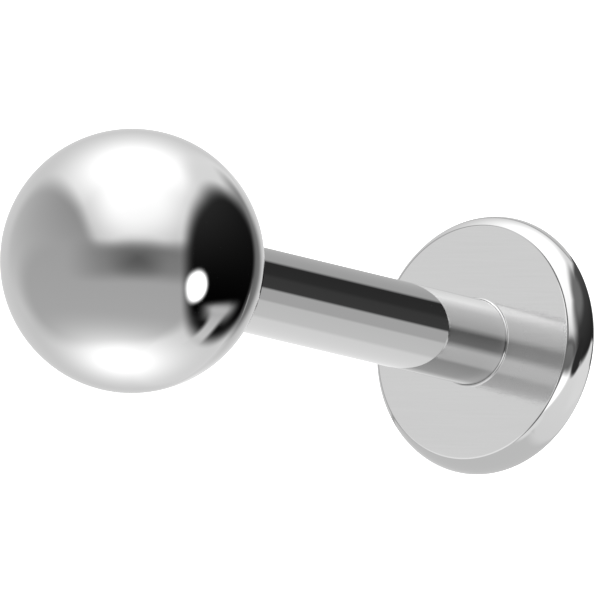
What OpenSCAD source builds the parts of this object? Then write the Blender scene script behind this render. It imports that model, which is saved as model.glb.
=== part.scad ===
// Labret stud: a polished ball screwed on a straight bar that is pressed into a flat round disc.
// It lies on its side on the plane z = 0, with its axis along X: the ball at -X, the disc at +X.
// Millimetres. The origin is under the middle of the stud, on the surface that it lies on.

/* [Ball] */
// Diameter of the ball
ball_d = 4.8; // [3.6:0.1:8]
// Depth of the flat seat that the end of the bar sits in
seat_depth = 0.12; // [0.06:0.01:0.3]

/* [Bar] */
// Diameter of the bar
bar_d = 1.6; // [1.5:0.05:2.4]
// Wearable length of the bar, from the face of the disc to the ball
wear_len = 8; // [5:0.5:20]
// Width of the chamfer round each end of the bar
bar_chamfer = 0.05; // [0.02:0.01:0.08]

/* [Thread] */
// Outer diameter of the thread
thread_d = 1.2; // [0.8:0.05:1.25]
// Pitch of the thread
thread_pitch = 0.25; // [0.2:0.05:0.4]
// Depth of the thread from crest to root
thread_depth = 0.15; // [0.08:0.01:0.2]
// Length of the thread inside the bar
thread_len = 2; // [1:0.25:3]
// Length of the plain end of the pin inside the ball
pin_hold = 2.2; // [1:0.1:2.6]
// Depth of the bore of the bar past the tip of the pin
bore_spare = 0.4; // [0.2:0.1:1]

/* [Disc] */
// Diameter of the disc
disc_d = 4.8; // [3.6:0.1:7]
// Width of the polished rim round the flat face
rim_w = 0.22; // [0.15:0.01:0.28]
// Depth of the rim's rounding, from the flat face to the widest ring
rim_front = 0.45; // [0.3:0.01:0.6]
// Radius of the rim's rounding behind the widest ring
rim_back = 0.26; // [0.2:0.01:0.6]
// Rise of the crown on the back of the disc
crown_rise = 0.17; // [0.1:0.01:0.4]
// Depth of the socket that the bar is pressed into
socket_depth = 0.6; // [0.3:0.05:0.7]
// Width and height of the small cone that the disc rises by round the foot of the bar
foot_w = 0.04; // [0.02:0.01:0.1]

/* [Clearances] */
// Gap all round each piece that sits in another, and past its end
fit_gap = 0.02; // [0.01:0.01:0.04]
// Gap between the crest of the thread and the bore of the bar
thread_gap = 0.03; // [0.02:0.01:0.05]

/* [Hidden] */
$fn = 96;
past = 0.1; // how far a cut runs past the solid that it opens
seam_turn = 180; // puts the seam of each round face on top, not on the line that the stud lies on

ball_r = ball_d / 2;
bar_r = bar_d / 2;
disc_r = disc_d / 2;
thread_r = thread_d / 2;
seat_r = bar_r + fit_gap;
socket_r = bar_r + fit_gap;
bore_r = thread_r + thread_gap;
pin_hole_r = thread_r + fit_gap;

// Places along the axis, from the centre of the ball towards the disc
seat_at = sqrt(ball_r * ball_r - seat_r * seat_r) - seat_depth;
bar_start = seat_at + fit_gap;
face_at = sqrt(ball_r * ball_r - bar_r * bar_r) + wear_len;
bar_end = face_at + socket_depth - fit_gap;
pin_start = seat_at - pin_hold;
pin_end = bar_start + thread_len;
bore_end = pin_end + bore_spare;

// The front of the rim is an arc from the edge of the flat face to the widest ring
front_r = (rim_front * rim_front + rim_w * rim_w) / (2 * rim_w);
// The crown is an arc round the axis that runs on smoothly from the back of the rim
back_ring_r = disc_r - rim_back;
crown_r = (back_ring_r * back_ring_r + 2 * rim_back * crown_rise + crown_rise * crown_rise)
    / (2 * crown_rise);
disc_t = rim_front + rim_back + crown_rise;

// The stud lies on its ball and on the rim of its disc, so it leans when they differ in size
arc_down = ball_r > disc_r ? rim_back : front_r;
arc_ring_r = disc_r - arc_down;
arc_at = face_at + rim_front;
lean = ball_r == disc_r ? 0
    : atan2(arc_at, arc_ring_r) - acos((ball_r - arc_down) / norm([arc_at, arc_ring_r]));
ball_x = (ball_r - face_at - disc_t) / 2;

// Puts what is drawn up its Z axis from the centre of the ball where the stud lies
module lying() {
    translate([ball_x, 0, ball_r]) rotate([0, 90 + lean, 0]) rotate(seam_turn) children();
}

// A round bar up Z from one height to another, with both ends chamfered
module rod(r, from, to, chamfer) {
    rotate_extrude() polygon([
        [0, from], [r - chamfer, from], [r, from + chamfer],
        [r, to - chamfer], [r - chamfer, to], [0, to]
    ]);
}

// A round hole up Z from one height to another, countersunk where it starts
module hole(r, from, to, mouth) {
    rotate_extrude() polygon([
        [0, from - past], [r + mouth + past, from - past], [r, from + mouth], [r, to], [0, to]
    ]);
}

// Half of the disc's section: radius across, depth from the flat face up
module disc_section() {
    // In front of the widest ring
    intersection() {
        union() {
            square([disc_r - front_r, rim_front]);
            translate([disc_r - front_r, rim_front]) circle(front_r);
        }
        square([disc_r, rim_front]);
    }
    // Behind it, under the crown
    intersection() {
        translate([0, rim_front]) union() {
            square([back_ring_r, disc_t]);
            translate([back_ring_r, 0]) circle(rim_back);
        }
        translate([0, disc_t - crown_r]) circle(crown_r);
        translate([0, rim_front]) square([disc_r, disc_t]);
    }
}

// Half of the section of the cone round the bar's foot, sunk a little into the disc
module foot_section() {
    polygon([[0, -foot_w], [socket_r, -foot_w], [socket_r + foot_w, 0], [0, foot_w]]);
}

module base_disc() {
    color("gainsboro") lying() difference() {
        translate([0, 0, face_at]) rotate_extrude() union() {
            disc_section();
            foot_section();
        }
        translate([0, 0, face_at - foot_w - past])
            cylinder(r = socket_r, h = socket_depth + foot_w + past);
    }
}

module bar() {
    color("silver") lying() difference() {
        rod(bar_r, bar_start, bar_end, bar_chamfer);
        hole(bore_r, bar_start, bore_end, bar_chamfer);
    }
}

module thread_pin() {
    turns = floor((pin_end - seat_at) / thread_pitch);
    root_r = thread_r - thread_depth;
    first = pin_end - turns * thread_pitch;
    color("darkgray") lying() rotate_extrude() polygon([
        [0, pin_start], [thread_r, pin_start], [thread_r, first],
        for (i = [0 : turns - 1]) each [
            [root_r, first + (i + 0.5) * thread_pitch],
            [i < turns - 1 ? thread_r : root_r, first + (i + 1) * thread_pitch]
        ],
        [0, pin_end]
    ]);
}

module ball() {
    color("whitesmoke") lying() difference() {
        sphere(ball_r);
        translate([0, 0, seat_at]) cylinder(r = seat_r, h = ball_r);
        translate([0, 0, pin_start - fit_gap]) cylinder(r = pin_hole_r, h = ball_d);
    }
}

base_disc();
bar();
thread_pin();
ball();
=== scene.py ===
"""Looks of the labret stud in a light tent: a polished ball, bar and rim, a satin disc face, and
the cut thread that the ball is screwed on by."""

import math

import bpy
from mathutils import Matrix, Vector


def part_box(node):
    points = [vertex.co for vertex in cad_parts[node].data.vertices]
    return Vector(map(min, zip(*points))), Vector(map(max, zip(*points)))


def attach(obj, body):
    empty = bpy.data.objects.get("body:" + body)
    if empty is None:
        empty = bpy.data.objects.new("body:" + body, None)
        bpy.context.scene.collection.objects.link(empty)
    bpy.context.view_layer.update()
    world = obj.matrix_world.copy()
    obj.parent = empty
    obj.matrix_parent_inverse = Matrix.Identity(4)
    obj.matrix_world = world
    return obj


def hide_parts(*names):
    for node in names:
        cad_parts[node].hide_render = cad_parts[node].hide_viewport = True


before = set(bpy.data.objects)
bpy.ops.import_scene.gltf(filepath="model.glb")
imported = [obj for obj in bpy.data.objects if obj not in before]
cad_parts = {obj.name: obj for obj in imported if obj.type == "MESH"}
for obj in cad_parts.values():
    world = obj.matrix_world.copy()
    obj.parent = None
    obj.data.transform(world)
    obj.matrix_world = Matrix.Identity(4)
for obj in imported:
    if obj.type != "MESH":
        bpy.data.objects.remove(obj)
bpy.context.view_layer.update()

MM = 0.001

# Sizes in mm, as the CAD part has them. Places along the axis count from the ball's centre.
BALL_R = DISC_R = 2.4
BAR_R = 0.8
CHAMFER = 0.05  # on the bar's ends, and on the pin's end in the ball
THREAD_R = 0.6
THREAD_PITCH = 0.25
THREAD_DEPTH = 0.15
THREAD_GAP = 0.03  # between the thread's crest and the bore
BORE_R = THREAD_R + THREAD_GAP
BORE_SPARE = 0.4  # depth of the bore past the pin's tip
FIT_GAP = 0.02  # round the pieces that sit in one another
PIN_HOLE_R = THREAD_R + FIT_GAP
SEAT_R = BAR_R + FIT_GAP
RIM_WIDTH, RIM_FRONT, RIM_BACK = 0.22, 0.45, 0.26
CROWN_RISE = 0.17
SOCKET_DEPTH = 0.6
FOOT = 0.04  # height of the fillet round the bar's foot
FOOT_GAP = 0.003  # all that the fillet leaves open round the bar
# What the CAD part leaves out
FACE_EDGE = 0.06  # radius that the polish gives the edge between the face and the rim
NARROW = 0.01  # width of the rings that keep the face's shading flat up to its rounded edges
GROOVE_ROOT, GROOVE_MOUTH = 1 / 8, 0.97  # widths of the thread's groove, in pitches
PAST_CREST = 0.02  # how far outside the crest the groove's cut starts

ball_low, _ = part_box("ball")
bar_low, bar_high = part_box("bar")
pin_low, pin_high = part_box("thread_pin")
disc_low, disc_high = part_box("base_disc")
AXIS_Z = (bar_low.z + bar_high.z) / 2 / MM
CENTRE_X = ball_low.x / MM + BALL_R

# Steps of a whole turn, and of each outline's arcs
TURN_STEPS, GROOVE_STEPS, PAPER_STEPS = 256, 64, 96
BALL_STEPS = 150
FILLET_STEPS, EDGE_STEPS, FRONT_STEPS, BACK_STEPS, CROWN_STEPS = 10, 5, 20, 24, 20
WELD = 1e-7  # metres
CREASE = math.radians(12)  # edges that bend by more stay sharp
SATIN_NORMAL = -0.999  # the disc's flat face is where the normals have less than this along X


def along_axis(x):
    """How far a CAD box's x lies from the ball's centre, in mm."""
    return x / MM - CENTRE_X


SEAT_AT = along_axis(bar_low.x) - FIT_GAP
BAR_START, BAR_END = along_axis(bar_low.x), along_axis(bar_high.x)
PIN_START, PIN_END = along_axis(pin_low.x), along_axis(pin_high.x)
FACE_AT = along_axis(disc_low.x) + FOOT
BACK_AT = along_axis(disc_high.x)


def arc(along, out, radius, start, end, steps):
    """Points of an arc: 0 degrees is towards the disc's back and 90 straight out from the axis."""
    turns = [math.radians(start + (end - start) * i / steps) for i in range(steps + 1)]
    return [(along + radius * math.cos(t), out + radius * math.sin(t)) for t in turns]


def place(along, out):
    return Vector((CENTRE_X + along, 0, AXIS_Z + out)) * MM


def draw_profile(profile):
    """Starts a mesh as one vertex and draws the profile on from it, edge by edge."""
    bpy.ops.object.select_all(action="DESELECT")
    points = [place(*p) for p in profile]
    bpy.ops.mesh.primitive_plane_add(size=MM, enter_editmode=True, location=points[0])
    bpy.ops.mesh.merge(type="CENTER")
    for here, there in zip(points, points[1:]):
        bpy.ops.mesh.extrude_vertices_move(TRANSFORM_OT_translate={"value": there - here})
    bpy.ops.mesh.select_all(action="SELECT")


def close_and_place(name):
    """Welds what is being edited, turns its faces outwards and puts its place in its mesh."""
    bpy.ops.mesh.select_all(action="SELECT")
    bpy.ops.mesh.remove_doubles(threshold=WELD)
    bpy.ops.mesh.normals_make_consistent(inside=False)
    bpy.ops.object.mode_set(mode="OBJECT")
    bpy.ops.object.transform_apply(location=True, rotation=True, scale=True)
    bpy.ops.object.shade_smooth_by_angle(angle=CREASE)
    piece = bpy.context.object
    piece.name = piece.data.name = name
    return piece


def turn(name, profile):
    """A closed round piece, turned about the stud's axis."""
    draw_profile(profile)
    bpy.ops.mesh.spin(steps=TURN_STEPS, angle=math.tau, center=place(0, 0), axis=(1, 0, 0))
    return close_and_place(name)


def make_ball():
    seat_edge = math.degrees(math.asin(SEAT_R / BALL_R))
    return turn("polished_ball", [
        *arc(0, 0, BALL_R, 180, seat_edge, BALL_STEPS),
        (SEAT_AT, SEAT_R),
        (SEAT_AT, PIN_HOLE_R),
        (PIN_START - FIT_GAP, PIN_HOLE_R),
        (PIN_START - FIT_GAP, 0),
    ])


def make_bar():
    return turn("polished_bar", [
        (PIN_END + BORE_SPARE, 0),
        (PIN_END + BORE_SPARE, BORE_R),
        (BAR_START + CHAMFER, BORE_R),
        (BAR_START, BORE_R + CHAMFER),
        (BAR_START, BAR_R - CHAMFER),
        (BAR_START + CHAMFER, BAR_R),
        (BAR_END - CHAMFER, BAR_R),
        (BAR_END, BAR_R - CHAMFER),
        (BAR_END, 0),
    ])


def make_disc():
    widest = FACE_AT + RIM_FRONT
    # The front of the rim is an arc that meets the face at a slant
    front_r = (RIM_FRONT**2 + RIM_WIDTH**2) / (2 * RIM_WIDTH)
    rim_start = math.degrees(math.atan2(front_r - RIM_WIDTH, -RIM_FRONT))
    # The back of the rim runs on smoothly into the crown
    ring_r = DISC_R - RIM_BACK
    crown_r = (ring_r**2 + 2 * RIM_BACK * CROWN_RISE + CROWN_RISE**2) / (2 * CROWN_RISE)
    crown_at = BACK_AT - crown_r
    crown_edge = math.degrees(math.atan2(ring_r, widest - crown_at))
    # The rounded edge takes this much off the face and off the rim
    trim = FACE_EDGE * math.tan(math.radians(180 - rim_start) / 2)
    face_r = DISC_R - RIM_WIDTH - trim
    rim_on = rim_start - math.degrees(trim / front_r)
    grip_r = BAR_R + FOOT_GAP
    return turn("flat_disc", [
        (FACE_AT + SOCKET_DEPTH, 0),
        (FACE_AT + SOCKET_DEPTH, grip_r),
        *arc(FACE_AT - FOOT, grip_r + FOOT, FOOT, 270, 360, FILLET_STEPS),
        (FACE_AT, grip_r + FOOT + NARROW),
        (FACE_AT, face_r - NARROW),
        *arc(FACE_AT + FACE_EDGE, face_r, FACE_EDGE, 180, rim_start, EDGE_STEPS),
        *arc(widest, DISC_R - front_r, front_r, rim_on, 90, FRONT_STEPS)[1:],
        *arc(widest, ring_r, RIM_BACK, 90, crown_edge, BACK_STEPS)[1:],
        *arc(crown_at, 0, crown_r, crown_edge, 0, CROWN_STEPS)[1:],
    ])


def make_groove():
    """The groove between the turns of the thread, as a solid that the pin is cut with."""
    root_r, root_w = THREAD_R - THREAD_DEPTH, THREAD_PITCH * GROOVE_ROOT
    top_r, top_w = THREAD_R + PAST_CREST, THREAD_PITCH * GROOVE_MOUTH
    turns = math.ceil((PIN_END - SEAT_AT) / THREAD_PITCH) + 1
    draw_profile([
        (SEAT_AT - root_w / 2, root_r),
        (SEAT_AT + root_w / 2, root_r),
        (SEAT_AT + top_w / 2, top_r),
        (SEAT_AT - top_w / 2, top_r),
        (SEAT_AT - root_w / 2, root_r),
    ])
    bpy.ops.mesh.remove_doubles(threshold=WELD)
    bpy.ops.object.mode_set(mode="OBJECT")
    bpy.context.scene.cursor.location = place(0, 0)
    bpy.ops.object.origin_set(type="ORIGIN_CURSOR")
    groove = bpy.context.object
    winding = groove.modifiers.new("winding", "SCREW")
    winding.axis, winding.screw_offset, winding.iterations = "X", THREAD_PITCH * MM, turns
    winding.steps = winding.render_steps = GROOVE_STEPS
    bpy.ops.object.modifier_apply(modifier="winding")
    bpy.ops.object.mode_set(mode="EDIT")
    bpy.ops.mesh.select_all(action="SELECT")
    bpy.ops.mesh.fill_holes(sides=4)
    return close_and_place("thread_groove")


def make_pin():
    """A turned pin with a right-hand thread cut in it up to its chamfered tip."""
    pin = turn("threaded_pin", [
        (PIN_START, 0),
        (PIN_START, THREAD_R - CHAMFER),
        (PIN_START + CHAMFER, THREAD_R),
        (PIN_END - THREAD_DEPTH, THREAD_R),
        (PIN_END, THREAD_R - THREAD_DEPTH),
        (PIN_END, 0),
    ])
    groove = make_groove()
    cut = pin.modifiers.new("cut", "BOOLEAN")
    cut.operation, cut.solver, cut.object = "DIFFERENCE", "EXACT", groove
    bpy.context.view_layer.objects.active = pin
    bpy.ops.object.modifier_apply(modifier="cut")
    bpy.data.objects.remove(groove)
    bpy.ops.object.select_all(action="DESELECT")
    pin.select_set(True)
    bpy.ops.object.mode_set(mode="EDIT")
    return close_and_place("threaded_pin")


SRGB_OFFSET, SRGB_POWER = 0.055, 2.4  # of the curve from display greys to light


def linear(grey):
    """An sRGB grey from 0 to 255 as linear light."""
    v = grey / 255
    return v / 12.92 if v <= 0.04045 else ((v + SRGB_OFFSET) / (1 + SRGB_OFFSET)) ** SRGB_POWER


def colour(hex_code):
    return (*[linear(int(hex_code[i : i + 2], 16)) for i in (1, 3, 5)], 1)


def add(tree, kind, inputs=(), **settings):
    """Adds a shader node with its settings, and its inputs as values or as links."""
    node = tree.nodes.new("ShaderNode" + kind)
    for key, value in settings.items():
        setattr(node, key, value)
    pairs = inputs.items() if isinstance(inputs, dict) else enumerate(inputs)
    for key, value in pairs:
        if isinstance(value, bpy.types.Node):
            value = value.outputs[0]
        if isinstance(value, bpy.types.NodeSocket):
            tree.links.new(value, node.inputs[key])
        else:
            node.inputs[key].default_value = value
    return node


def new_material(name):
    material = bpy.data.materials.new(name)
    material.use_nodes = True
    material.node_tree.nodes.clear()
    return material, material.node_tree


def in_mm(tree, turned=0.0):
    """Where a point lies in mm, on axes turned about the stud's own by an angle. Noise on this has
    patches of about 1 mm divided by its scale."""
    here = add(tree, "TexCoord").outputs["Object"]
    return add(tree, "Mapping", {
        "Vector": here, "Rotation": (turned, 0, 0), "Scale": (1 / MM,) * 3,
    })


NOISE_LOW, NOISE_HIGH = 0.3, 0.7  # noise seldom leaves this range


def bare_metal(tree, tint, rough, bump):
    """Ends a metal's nodes with its shader."""
    shader = add(tree, "BsdfPrincipled", {
        "Base Color": tint, "Metallic": 1.0, "Roughness": rough, "Normal": bump,
    })
    add(tree, "OutputMaterial", {"Surface": shader})


def polished_steel():
    """Surgical steel, mirror polished on a buff: sharp reflections, which swells about 1.4 mm long
    bend a little. The haze of the buffing is drawn 0.1 mm wide, coarser than it is, so that it
    shows."""
    material, tree = new_material("surgical steel, mirror polished")
    here = in_mm(tree)
    swell = add(tree, "TexNoise", {"Vector": here, "Scale": 0.7, "Detail": 1.0})
    haze = add(tree, "TexNoise", {"Vector": here, "Scale": 9.0, "Detail": 3.0})
    rough = add(tree, "MapRange", (haze, NOISE_LOW, NOISE_HIGH, 0.02, 0.05))
    bump = add(tree, "Bump", {"Height": swell, "Strength": 1.0, "Distance": 6e-7})
    bare_metal(tree, colour("#CBCBCB"), rough, bump)
    return material


GRAIN_TURN = math.radians(18.3)  # of the satin's hairlines, from level


def satin_steel():
    """Surgical steel rubbed one way on fine paper: a soft mirror with faint straight hairlines.
    Real ones are under 0.02 mm apart. These are drawn 0.04 mm apart, so that they just show."""
    material, tree = new_material("surgical steel, satin")
    here = in_mm(tree, GRAIN_TURN)
    along = add(tree, "Mapping", {"Vector": here, "Scale": (1, 0.7, 25)})
    hair = add(tree, "TexNoise", {"Vector": along, "Scale": 1.0, "Detail": 2.0})
    patch = add(tree, "TexNoise", {"Vector": here, "Scale": 1.5, "Detail": 2.0})
    rough = add(tree, "MapRange", (patch, NOISE_LOW, NOISE_HIGH, 0.08, 0.12))
    shade = add(tree, "MapRange", (hair, NOISE_LOW, NOISE_HIGH, 0.2, 0.8))
    tint = add(
        tree, "Mix", {0: shade, 6: colour("#CACACA"), 7: colour("#CDCDCD")}, data_type="RGBA"
    )
    bump = add(tree, "Bump", {"Height": hair, "Strength": 1.0, "Distance": 1e-7})
    bare_metal(tree, tint.outputs[2], rough, bump)
    return material


def turned_steel():
    """Surgical steel as it leaves the lathe: less bright, with the fine rings that the tool cuts,
    0.025 mm apart."""
    material, tree = new_material("surgical steel, as turned")
    rings = add(tree, "Mapping", {"Vector": in_mm(tree), "Scale": (40, 0.5, 0.5)})
    marks = add(tree, "TexNoise", {"Vector": rings, "Scale": 1.0, "Detail": 2.0})
    rough = add(tree, "MapRange", (marks, NOISE_LOW, NOISE_HIGH, 0.18, 0.3))
    bump = add(tree, "Bump", {"Height": marks, "Strength": 1.0, "Distance": 1e-6})
    bare_metal(tree, colour("#B4B3B1"), rough, bump)
    return material


# The camera, fitted to the photo: its distance in m, its lens and film in mm, the way to it, its
# turn about its own axis, and where it aims from the ball's centre, in mm in the picture.
CAMERA_AWAY = 0.48
LENS, FILM = 1589.8, 36
TO_CAMERA = Vector((-0.7826, -0.6163, 0.0872)).normalized()
ROLL = math.radians(19.75)
AIM_RIGHT, AIM_UP = 3.040, -0.709
NEAREST, FURTHEST = 0.01, 20  # that it sees, in m

level_right = Vector((0, 0, 1)).cross(TO_CAMERA).normalized()
level_up = TO_CAMERA.cross(level_right)
RIGHT = math.cos(ROLL) * level_right + math.sin(ROLL) * level_up
UP = math.cos(ROLL) * level_up - math.sin(ROLL) * level_right
# Straight out from the axis on the camera's side, and upwards across that
FACING = Vector((0, TO_CAMERA.y, TO_CAMERA.z)).normalized()
RISING = Vector((0, TO_CAMERA.z, -TO_CAMERA.y)).normalized()


def set_camera():
    data = bpy.data.cameras.new("camera")
    data.lens, data.sensor_width = LENS, FILM
    data.clip_start, data.clip_end = NEAREST, FURTHEST
    camera = bpy.data.objects.new("camera", data)
    bpy.context.scene.collection.objects.link(camera)
    target = place(0, 0) + (AIM_RIGHT * RIGHT + AIM_UP * UP) * MM
    turned = Matrix((RIGHT, UP, TO_CAMERA)).transposed().to_4x4()
    camera.matrix_world = Matrix.Translation(target + CAMERA_AWAY * TO_CAMERA) @ turned
    bpy.context.scene.camera = camera


STEEL_REFLECTS = 0.6  # share of the light that the steel mirrors

# The light tent, as seen from the stud: azimuth 0 is towards the camera and counts to its right,
# and elevation counts up. Each card: azimuth, elevation, half width, half height, softness of its
# edge, display grey at its foot and at its top, squareness, where 2 is an ellipse, and turn. Each
# cap is a round card: azimuth, elevation, radius, softness and grey. Angles are in degrees, a grey
# of 1 is white, and each card lies on those before it.
TENT_R, FLOOR_SIZE = 1.0, 8.0  # metres
TENT_GREY = 0.745
TENT_CARDS = [
    ("cap", 72, 88, 24.3, 1.94, 1.32),
    ("card", 110, -33, 64.3, 87, 0.08, 0.734, 0.84, 2.83, 9.4),
    ("card", -81.6, -2.2, 61.9, 48, 0.138, 0.787, 0.545, 1.72, -27.5),
    ("card", -25, -31.5, 94.4, 43.3, 0.138, 0.662, 0.615, 2.58, -4.6),
    ("cap", -147.7, -79.2, 10.5, 4.27, 1.39),
    ("card", 5.4, 72, 46.4, 56.3, 0.417, 0.93, 1.187, 2.41, 10.5),
    ("card", 12.5, -0.65, 50.9, 13.7, 0.517, 0.495, 0.452, 4.47, -1.4),
    ("card", 5.5, 3.3, 11.5, 8.3, 1.685, 0.272, 0.39, 2.68, -2.3),
    ("card", 139, 9, 13, 17, 0.5, 0.47, 0.47, 3, 0),
    ("card", 93.7, -2.8, 44.5, 44.6, 0.179, -0.062, 0.162, 2.37, 6.8),
    ("card", 61.8, -19.3, 10.9, 12.7, 0.268, 1.23, 1.22, 2.18, 23.9),
    ("card", 100.3, -32.2, 17.3, 5.9, 0.925, 0.204, 1.056, 5.1, 13.9),
    ("card", 103.7, -40.6, 9.2, 12.7, 0.527, 0.789, 0.671, 6.8, 18.1),
    ("cap", 180, 0, 26, 0.5, 0.72),
]

# Glowing cards on a clear pipe round the disc, which paint the bands that the rim mirrors: painted
# reflections, seen only in the steel. The pipe's radius and its ends behind the face are in mm, and
# how far it goes round from the camera's side is in degrees. In place of its azimuth a card has its
# place behind the face, and in place of its elevation its angle up round the axis.
PIPE_R, PIPE_START, PIPE_END, PIPE_SWEEP = 3.5, -1.72, 9.0, 145
PIPE_UNITS = 30  # of a card's place and width in a mm
PIPE_CARDS = [
    ("card", 100, -92, 150, 50, 0.05, 0.72, 0.73, 6, 0),
    ("card", 100, -22, 150, 27, 0.15, 0.8, 0.84, 6, 0),
    ("card", -33, -46, 14, 12, 0.3, 0.84, 0.84, 3, 0),
    ("card", -29.8, -15, 26, 10.5, 0.25, 1.05, 1.05, 3, 43),
    ("card", -30, 5, 24, 10, 0.4, 0.38, 0.45, 3, 0),
    ("card", 157, 112, 117, 54, 0.08, 0.7, 0.74, 5, 0),
    ("card", 110, 36, 104, 30, 0.1, 0.84, 0.84, 6, 21.8),
    ("card", 155, 50, 110, 24, 0.1, 0.13, 0.17, 6, 6),
    ("card", 95, 57, 111, 23, 0.12, 0.12, 0.3, 6, 21.8),
    ("card", 12, 41, 20, 11, 0.5, 0.42, 0.42, 2.5, 30),
    ("card", 5, 5, 14, 8, 0.25, 0.16, 0.16, 2, 35),
]

# The glowing sheets below paint the steel's reflections. Their greys go from 0 to 255, as the steel
# that mirrors them shows them.

# A glowing sleeve round the bar, which paints the bands of the bar's reflection: its radius and
# ends in mm, and how near what mirrors it has to be, so that the ball and the disc don't. The greys
# go across the bar as the camera sees it, from -1 at its lower edge to 1 at its upper one.
SLEEVE_R, SLEEVE_START, SLEEVE_END, SLEEVE_REACH = 1.25, 2.1, 9.06, 1.49
LEAN_STEPS = 5  # in which its material works out how far the bar leans
SLEEVE_GREYS = [
    (-1, 206), (-0.60, 204), (-0.53, 188), (-0.20, 185), (-0.15, 160), (0.08, 160),
    (0.13, 56), (0.36, 54), (0.44, 43), (0.68, 40), (0.735, 152), (1, 156),
]

# A glowing disc of card across the bar, which paints the disc's reflections, among them the even
# grey of the satin face: its place and radii in mm. The disc's face mirrors its white part, which
# is placed by mm up and mm behind the axis, straight to the camera, and the rest by way of the bar.
# The rest has its greys by the angle round the axis in degrees, with a share of a paler one inside
# the first radius and none outside the second.
SCREEN_AT, SCREEN_HOLE, SCREEN_R = 6.0, 1.0, 6.2
FACE_CARDS = [("card", 0, 3.4, 2.28, 2.7, 0.02, 0, 0, 12, 0)]
FACE_GREY = 204
SCREEN_GREYS = [
    (-180, 195), (-145, 190), (-115, 145), (-65, 133), (-56, 166), (-25, 172), (-9, 102),
    (18, 85), (34, 157), (75, 180), (105, 220), (150, 180), (180, 195),
]
PALE_GREY, PALE_SHARE, PALE_INSIDE, PALE_OUTSIDE = 200, 0.24, 4.05, 4.25
# The painted reflection on the face's rounded edge: what it mirrors of the card straight to the
# camera, by the same angle. It starts at the first radius and is there in full from the second.
EDGE_INSIDE, EDGE_OUTSIDE = 2.2, 2.4
EDGE_GREYS = [(-180, 225), (-80, 225), (-62, 95), (95, 115), (110, 190), (180, 225)]

# A glowing ring beside the ball, which paints the reflection on the ball's edge next to the bar:
# its place and radii in mm, with the one from which it fades. Its greys go by how far out it is to
# the camera's side, to which a share of how far up it is adds.
RING_AT, RING_INNER, RING_FADES, RING_OUTER = 3.0, 1.3, 2.5, 3.0
RING_LEAN = 0.18
RING_GREYS = [(-3, 215), (0, 200), (1.6, 178), (2.1, 112), (2.5, 95), (2.9, 18), (3, 12)]


def direction(azimuth, elevation):
    a, e = math.radians(azimuth), math.radians(elevation)
    level = math.sin(a) * RIGHT + math.cos(a) * TO_CAMERA
    return math.cos(e) * level + math.sin(e) * UP


def paint_cards(tree, cards, grey, across, up, ray=None):
    """Lays cards over one another on a grey. Returns the grey and how far anything covers it."""
    spot = add(tree, "CombineXYZ", (across, up, 0))
    covered = 0
    for kind, x, y, *rest in cards:
        if kind == "cap":
            radius, soft, level = rest
            dot = add(tree, "VectorMath", (ray, direction(x, y)), operation="DOT_PRODUCT")
            away = add(tree, "Math", (dot.outputs["Value"],), operation="ARCCOSINE")
            edge = add(tree, "Math", (away, math.radians(radius)), operation="DIVIDE")
        else:
            width, height, soft, foot, top, squareness, turned = rest
            local = add(tree, "Mapping", {
                "Vector": spot, "Location": (x, y, 0), "Rotation": (0, 0, math.radians(turned)),
                "Scale": (width, height, 1),
            }, vector_type="TEXTURE")
            parts = add(tree, "SeparateXYZ", (local,)).outputs
            sizes = [add(tree, "Math", (part,), operation="ABSOLUTE") for part in parts[:2]]
            powers = [add(tree, "Math", (size, squareness), operation="POWER") for size in sizes]
            both = add(tree, "Math", powers, operation="ADD")
            edge = add(tree, "Math", (both, 1 / squareness), operation="POWER")
            level = add(tree, "MapRange", (parts[1], -1, 1, foot, top))
        cover = add(
            tree, "MapRange", (edge, 1 - soft, 1 + soft, 1, 0), interpolation_type="SMOOTHSTEP"
        )
        grey = add(tree, "Mix", {0: cover, 2: grey, 3: level})
        covered = add(tree, "Math", (covered, cover), operation="MAXIMUM")
    return grey, covered


def glow_material(name):
    """A material that only glows and doesn't light the room as a lamp would."""
    material, tree = new_material(name)
    material.cycles.emission_sampling = "NONE"
    return material, tree


def before_mirrors(tree, light, times=1):
    """The glow that is seen as this light once steel has mirrored it so many times."""
    return add(tree, "Math", (light, STEEL_REFLECTS**times), operation="DIVIDE")


def as_light(tree, grey):
    """The glow that polished steel mirrors as this display grey."""
    over = add(tree, "Math", (grey, 0.0), operation="MAXIMUM")
    lifted = add(
        tree, "Math", (over, 1 / (1 + SRGB_OFFSET), SRGB_OFFSET / (1 + SRGB_OFFSET)),
        operation="MULTIPLY_ADD",
    )
    return before_mirrors(tree, add(tree, "Math", (lifted, SRGB_POWER), operation="POWER"))


def tent_material():
    """White cloth with cards on it, which gives the steel its highlights and its dark shapes."""
    material, tree = glow_material("white cloth of the light tent")
    here = add(tree, "TexCoord").outputs["Object"]
    ray = add(tree, "VectorMath", (here,), operation="NORMALIZE")
    right, up, ahead = [
        add(tree, "VectorMath", (ray, axis), operation="DOT_PRODUCT").outputs["Value"]
        for axis in (RIGHT, UP, TO_CAMERA)
    ]
    turns = [
        add(tree, "Math", (right, ahead), operation="ARCTAN2"),
        add(tree, "Math", (up,), operation="ARCSINE"),
    ]
    azimuth, elevation = [add(tree, "Math", (turn,), operation="DEGREES") for turn in turns]
    grey, _ = paint_cards(tree, TENT_CARDS, TENT_GREY, azimuth, elevation, ray)
    glow = add(tree, "Emission", {"Strength": as_light(tree, grey)})
    add(tree, "OutputMaterial", {"Surface": glow})
    return material


def round_the_axis(tree):
    """Where a point lies across the stud: mm up from the axis, mm out to the camera's side, mm from
    the axis, and its angle up from that side."""
    here = add(tree, "VectorMath", (in_mm(tree), (0, 0, AXIS_Z)), operation="SUBTRACT")
    up, out = [
        add(tree, "VectorMath", (here, axis), operation="DOT_PRODUCT").outputs["Value"]
        for axis in (RISING, FACING)
    ]
    flat = add(tree, "CombineXYZ", (up, out, 0))
    radius = add(tree, "VectorMath", (flat,), operation="LENGTH").outputs["Value"]
    return up, out, radius, add(tree, "Math", (up, out), operation="ARCTAN2")


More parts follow.
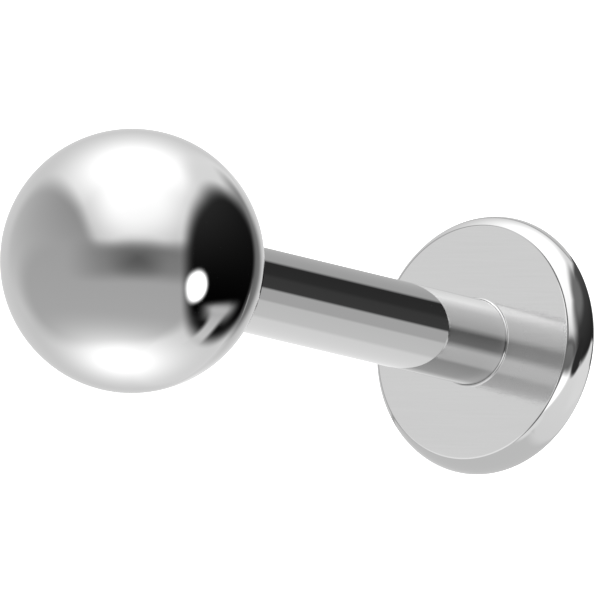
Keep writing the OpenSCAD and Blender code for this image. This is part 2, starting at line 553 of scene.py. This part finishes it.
def grey_ramp(tree, at, greys):
    """Display greys by their place, as the light that is seen."""
    low, high = greys[0][0], greys[-1][0]
    ramp = add(tree, "ValToRGB", (add(tree, "MapRange", (at, low, high, 0, 1)),))
    stops = ramp.color_ramp.elements
    for i, (here, grey) in enumerate(greys):
        stop = stops[i] if i < 2 else stops.new(1.0)  # a ramp starts with two stops
        stop.position = (here - low) / (high - low)
        stop.color = (linear(grey),) * 3 + (1,)
    return ramp


def once_mirrored(tree):
    """1 where what is seen here is mirrored once, and 0 where it is mirrored more often."""
    times = add(tree, "LightPath").outputs["Glossy Depth"]
    return add(tree, "Math", (times, 1.5), operation="LESS_THAN")


def glow_inside(tree, light, covered):
    """Glows where it is covered and seen from its inner side, and is clear elsewhere."""
    glow = add(tree, "Emission", {"Strength": light})
    clear = add(tree, "BsdfTransparent")
    inside = add(tree, "NewGeometry").outputs["Backfacing"]
    shown = add(tree, "Math", (inside, covered), operation="MULTIPLY")
    add(tree, "OutputMaterial", {"Surface": add(tree, "MixShader", (shown, clear, glow))})


def pipe_material():
    """Glowing cards with clear gaps between them, a painted reflection that the rim mirrors as
    bands that follow it round.
    """
    material, tree = glow_material("painted reflection of the rim's bands")
    *_, angle = round_the_axis(tree)
    x = add(tree, "SeparateXYZ", (in_mm(tree),))
    face_x = CENTRE_X + FACE_AT
    across = add(tree, "MapRange", (x, face_x, face_x + 1, 0, PIPE_UNITS), clamp=False)
    up = add(tree, "Math", (angle,), operation="DEGREES")
    grey, covered = paint_cards(tree, PIPE_CARDS, 0.0, across, up)
    glow_inside(tree, as_light(tree, grey), covered)
    return material


def sleeve_material():
    """A glowing sheet in bands, a painted reflection that the bar mirrors side by side along its
    whole length.
    """
    material, tree = glow_material("painted reflection of the bar's bands")
    *_, angle = round_the_axis(tree)
    half = add(tree, "Math", (angle, 0.5), operation="MULTIPLY")
    lean = half
    for _ in range(LEAN_STEPS):  # closes in on how far the bar leans where it mirrors this point
        sine = add(tree, "Math", (lean,), operation="SINE")
        aside = add(tree, "Math", (sine, BAR_R / SLEEVE_R), operation="MULTIPLY")
        bend = add(tree, "Math", (aside,), operation="ARCSINE")
        lean = add(tree, "Math", (bend, 0.5, half), operation="MULTIPLY_ADD")
    height = add(tree, "Math", (lean,), operation="SINE")
    light = before_mirrors(tree, grey_ramp(tree, height, SLEEVE_GREYS))
    length = add(tree, "LightPath").outputs["Ray Length"]
    near = add(tree, "Math", (length, SLEEVE_REACH * MM), operation="LESS_THAN")
    shown = add(tree, "Math", (near, once_mirrored(tree)), operation="MULTIPLY")
    glow_inside(tree, light, shown)
    return material


def screen_material():
    """A glowing card, a painted reflection that gives the satin face its even grey, and the streaks
    it shares with the bar.
    """
    material, tree = glow_material("painted reflection on the disc and bar")
    up, out, radius, angle = round_the_axis(tree)
    turned = add(tree, "Math", (angle,), operation="DEGREES")
    greys = grey_ramp(tree, turned, SCREEN_GREYS)
    pale = add(tree, "MapRange", (radius, PALE_INSIDE, PALE_OUTSIDE, PALE_SHARE, 0))
    by_bar = add(tree, "Mix", {0: pale, 2: greys, 3: linear(PALE_GREY)})
    outer = add(tree, "MapRange", (radius, EDGE_INSIDE, EDGE_OUTSIDE, 0, 1))
    to_edge = add(tree, "Math", (once_mirrored(tree), outer), operation="MULTIPLY")
    light = add(tree, "Mix", {
        0: to_edge,
        2: before_mirrors(tree, by_bar, 2),
        3: before_mirrors(tree, grey_ramp(tree, turned, EDGE_GREYS)),
    })
    behind = add(tree, "Math", (out, -1.0), operation="MULTIPLY")
    _, straight = paint_cards(tree, FACE_CARDS, 0.0, up, behind)
    light = add(tree, "Mix", {0: straight, 2: light, 3: linear(FACE_GREY) / STEEL_REFLECTS})
    glow_inside(tree, light, 1.0)
    return material


def ring_material():
    """A glowing sheet from white to nearly black, a painted reflection for the thin light edge of
    the ball beside the bar.
    """
    material, tree = glow_material("painted reflection on the ball's edge")
    up, out, radius, _ = round_the_axis(tree)
    leaning = add(tree, "Math", (up, RING_LEAN, out), operation="MULTIPLY_ADD")
    light = before_mirrors(tree, grey_ramp(tree, leaning, RING_GREYS))
    kept = add(tree, "MapRange", (radius, RING_FADES, RING_OUTER, 1, 0))
    glow_inside(tree, light, kept)
    return material


def only_reflections(piece):
    """Hides a piece of the stage from all but the steel."""
    piece.visible_camera = piece.visible_diffuse = piece.visible_shadow = False
    piece.visible_transmission = piece.visible_volume_scatter = False


def make_reflection_sheet(name, start, end, material, sweep=180):
    """A glowing band round the axis, which paints reflections on the steel, as many degrees up as
    down from the camera's side. Start and end are in the order that turns its inner side, which
    glows, to what mirrors it."""
    draw_profile([start, end])
    bpy.ops.mesh.spin(
        steps=PAPER_STEPS, angle=math.radians(2 * sweep), center=place(0, 0), axis=(1, 0, 0)
    )
    bpy.ops.mesh.select_all(action="SELECT")
    bpy.ops.mesh.remove_doubles(threshold=WELD)
    camera_side = math.atan2(FACING.z, FACING.y) - math.pi / 2
    bpy.ops.transform.rotate(
        value=-math.radians(sweep) - camera_side, orient_axis="X", orient_type="GLOBAL",
        center_override=place(0, 0),
    )
    bpy.ops.object.mode_set(mode="OBJECT")
    bpy.ops.object.transform_apply(location=True, rotation=True, scale=True)
    glowing_sheet = bpy.context.object
    glowing_sheet.name = name
    glowing_sheet.data.materials.append(material)
    only_reflections(glowing_sheet)


def make_tent():
    bpy.ops.object.select_all(action="DESELECT")
    bpy.ops.mesh.primitive_uv_sphere_add(
        segments=128, ring_count=64, radius=TENT_R, location=(0, 0, AXIS_Z * MM)
    )
    tent = bpy.context.object
    tent.name = "light_tent"
    tent.data.materials.append(tent_material())
    only_reflections(tent)


def floor_material():
    """Matt white acrylic, lit from below: an even white that takes no shadow."""
    material, tree = new_material("matt white acrylic, lit from below")
    grain = add(tree, "TexNoise", {"Vector": in_mm(tree), "Scale": 0.9})
    shade = add(tree, "MapRange", (grain, NOISE_LOW, NOISE_HIGH, 0, 1))
    tint = add(
        tree, "Mix", {0: shade, 6: colour("#EFEFEF"), 7: colour("#F3F3F3")}, data_type="RGBA"
    )
    shader = add(tree, "BsdfPrincipled", {
        "Base Color": tint.outputs[2], "Roughness": 0.9, "Emission Color": (1, 1, 1, 1),
        "Emission Strength": 0.9,
    })
    add(tree, "OutputMaterial", {"Surface": shader})
    return material


def make_floor():
    bpy.ops.object.select_all(action="DESELECT")
    bpy.ops.mesh.primitive_plane_add(size=FLOOR_SIZE, location=(0, 0, 0))
    floor = bpy.context.object
    floor.name = "white_floor"
    floor.data.materials.append(floor_material())
    floor.visible_glossy = False


def light_room():
    """Even white light from all round, which the steel doesn't mirror."""
    world = bpy.data.worlds.new("white room")
    bpy.context.scene.world = world
    world.use_nodes = True
    light = world.node_tree.nodes["Background"].inputs
    light["Color"].default_value = (1, 1, 1, 1)
    light["Strength"].default_value = 1.0
    world.cycles_visibility.glossy = False
    bpy.context.scene.view_settings.view_transform = "Standard"


polished = polished_steel()
satin = satin_steel()

ball = make_ball()
ball.data.materials.append(polished)
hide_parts("ball")
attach(ball, "ball_end")

bar = make_bar()
bar.data.materials.append(polished)
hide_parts("bar")
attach(bar, "post")

pin = make_pin()
pin.data.materials.append(turned_steel())
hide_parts("thread_pin")
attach(pin, "screw")

disc = make_disc()
disc.data.materials.append(polished)
disc.data.materials.append(satin)
for face in disc.data.polygons:
    face.material_index = int(face.normal.x < SATIN_NORMAL)
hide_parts("base_disc")
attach(disc, "post")

make_floor()
make_tent()
make_reflection_sheet(
    "rim_reflection_sheet", (FACE_AT + PIPE_START, PIPE_R), (FACE_AT + PIPE_END, PIPE_R), pipe_material(),
    PIPE_SWEEP,
)
make_reflection_sheet("bar_reflection_sheet", (SLEEVE_START, SLEEVE_R), (SLEEVE_END, SLEEVE_R), sleeve_material())
make_reflection_sheet("face_reflection_sheet", (SCREEN_AT, SCREEN_HOLE), (SCREEN_AT, SCREEN_R), screen_material())
make_reflection_sheet("ball_reflection_sheet", (RING_AT, RING_OUTER), (RING_AT, RING_INNER), ring_material())
light_room()
set_camera()
